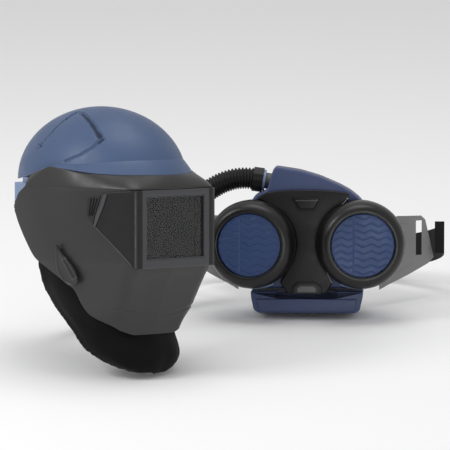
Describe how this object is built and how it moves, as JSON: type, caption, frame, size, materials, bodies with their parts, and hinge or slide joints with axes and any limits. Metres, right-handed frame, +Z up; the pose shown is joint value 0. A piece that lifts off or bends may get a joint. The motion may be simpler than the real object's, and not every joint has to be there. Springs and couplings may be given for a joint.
{
  "type": "powered air respirator",
  "caption": "Powered air respirator: helmet with flip-up welding shield and fabric face seal, breathing hose, and belt-mounted twin-filter fan unit.",
  "frame": {"origin": "middle of the headband, where the wearer's head holds the helmet", "axes": "+Z up, -Y towards the front of the fan unit, +X from the headtop towards the fan unit"},
  "size_m": [0.5965, 0.6756, 0.3393],
  "materials": {
    "helmet_blue": "fine moulded texture, soft sheen",
    "shield_grey": "fine moulded texture, soft sheen",
    "bezel_grey": "satin",
    "fan_blue": "fine moulded texture",
    "black_plastic": "satin",
    "light_blue_plastic": "satin",
    "inner_plastic": "satin",
    "black_rubber": "matt",
    "clear_plate": "clear",
    "welding_glass": "dark",
    "seal_fabric": "soft woven",
    "webbing": "ribbed weave",
    "foam": "soft",
    "prefilter_blue": "pressed non-woven with wave pattern",
    "filter_body": "satin",
    "hip_plate_grey": "soft textured",
    "steel": "satin",
    "circuit_green": "lacquered"
  },
  "bodies": {
    "root": {"helmet_shell": "helmet_blue", "crown_straps": "webbing", "headband": "inner_plastic", "sweatband": "foam", "air_duct": "inner_plastic", "rear_manifold": "light_blue_plastic", "inlet_spigot": "inner_plastic", "ratchet_housing": "black_plastic", "shield_pivots": "steel", "housing_front": "fan_blue", "housing_rear": "fan_blue", "housing_screws": "steel", "centre_panel": "black_plastic", "indicator_insert": "black_plastic", "fan_motor": "steel", "volute": "inner_plastic", "circuit_board": "circuit_green", "outlet_spigot": "inner_plastic", "outlet_ring": "light_blue_plastic", "fan_cuff": "black_rubber", "helmet_cuff": "black_rubber", "breathing_hose": "black_rubber", "back_pad": "foam", "belt_screws": "steel", "buckle_socket": "black_plastic", "buckle_plug": "black_plastic", "filter_socket_left": "light_blue_plastic", "belt_plate_left": "hip_plate_grey", "webbing_left": "webbing", "strap_adjuster_left": "black_plastic", "filter_socket_right": "light_blue_plastic", "belt_plate_right": "hip_plate_grey", "webbing_right": "webbing", "strap_adjuster_right": "black_plastic"},
    "shield": {"welding_shield": "shield_grey", "window_frame": "bezel_grey", "vent_right": "black_plastic", "vent_left": "black_plastic", "cover_plate": "clear_plate", "welding_filter": "welding_glass", "inner_plate": "clear_plate", "filter_clip": "steel", "face_seal": "seal_fabric"},
    "clip_right": {"shield_clip_right": "bezel_grey"},
    "clip_left": {"shield_clip_left": "bezel_grey"},
    "size_knob": {"ratchet_knob": "inner_plastic"},
    "button": {"control_button": "black_rubber"},
    "fan_wheel": {"impeller": "inner_plastic"},
    "battery": {"battery_pack": "fan_blue"},
    "latch": {"battery_latch": "black_plastic"},
    "filter_left": {"filter_gasket_left": "black_rubber", "filter_cartridge_left": "filter_body", "filter_cover_left": "black_plastic", "prefilter_left": "prefilter_blue"},
    "filter_right": {"filter_gasket_right": "black_rubber", "filter_cartridge_right": "filter_body", "filter_cover_right": "black_plastic", "prefilter_right": "prefilter_blue"},
    "tab_upper": {"buckle_tab_upper": "black_plastic"},
    "tab_lower": {"buckle_tab_lower": "black_plastic"}
  },
  "joints": [
    {"name": "shield_lift", "type": "hinge", "parent": "root", "child": "shield", "pos_m": [0.0164, -0.01925, -0.00117], "axis": [-0.7547, -0.6489, 0.097], "range_deg": [0, 65]},
    {"name": "clip_right_open", "type": "hinge", "parent": "shield", "child": "clip_right", "pos_m": [-0.05376, -0.1143, -0.09009], "axis": [-0.7857, 0.6119, -0.0914], "range_deg": [0, 25]},
    {"name": "clip_left_open", "type": "hinge", "parent": "shield", "child": "clip_left", "pos_m": [0.10624, 0.02325, -0.11065], "axis": [0.5033, -0.8546, 0.1277], "range_deg": [0, 25]},
    {"name": "size_knob_turn", "type": "hinge", "parent": "root", "child": "size_knob", "pos_m": [-0.103, 0.10817, -0.07784], "axis": [-0.6561, 0.7464, -0.1116], "continuous": true},
    {"name": "button_press", "type": "slide", "parent": "root", "child": "button", "axis": [0.0523, 0.9889, -0.139], "range_m": [0, 0.0015], "stiffness_N_per_m": 400, "springref_m": -0.001},
    {"name": "fan_spin", "type": "hinge", "parent": "root", "child": "fan_wheel", "pos_m": [0.27569, 0.25357, -0.16011], "axis": [-0.0523, -0.9889, 0.139], "continuous": true},
    {"name": "filter_left_turn", "type": "hinge", "parent": "root", "child": "filter_left", "pos_m": [0.20193, 0.24123, -0.15838], "axis": [-0.1736, -0.9752, 0.1371], "range_deg": [0, 40]},
    {"name": "filter_right_turn", "type": "hinge", "parent": "root", "child": "filter_right", "pos_m": [0.34773, 0.23366, -0.15731], "axis": [0.0698, -0.9879, 0.1388], "range_deg": [0, 40]},
    {"name": "battery_out", "type": "slide", "parent": "root", "child": "battery", "axis": [0, -0.1392, -0.9903], "range_m": [0, 0.05]},
    {"name": "latch_slide", "type": "slide", "parent": "root", "child": "latch", "axis": [0, -0.1392, -0.9903], "range_m": [0, 0.003], "stiffness_N_per_m": 600, "springref_m": -0.002},
    {"name": "tab_upper_press", "type": "slide", "parent": "root", "child": "tab_upper", "axis": [-0.0144, -0.4064, -0.9136], "range_m": [0, 0.003], "stiffness_N_per_m": 300, "springref_m": -0.001},
    {"name": "tab_lower_press", "type": "slide", "parent": "root", "child": "tab_lower", "axis": [0.0144, 0.4064, 0.9136], "range_m": [0, 0.003]}
  ],
  "couplings": [
    {"joint": "tab_lower_press", "follows": "tab_upper_press", "ratio": 1}
  ]
}
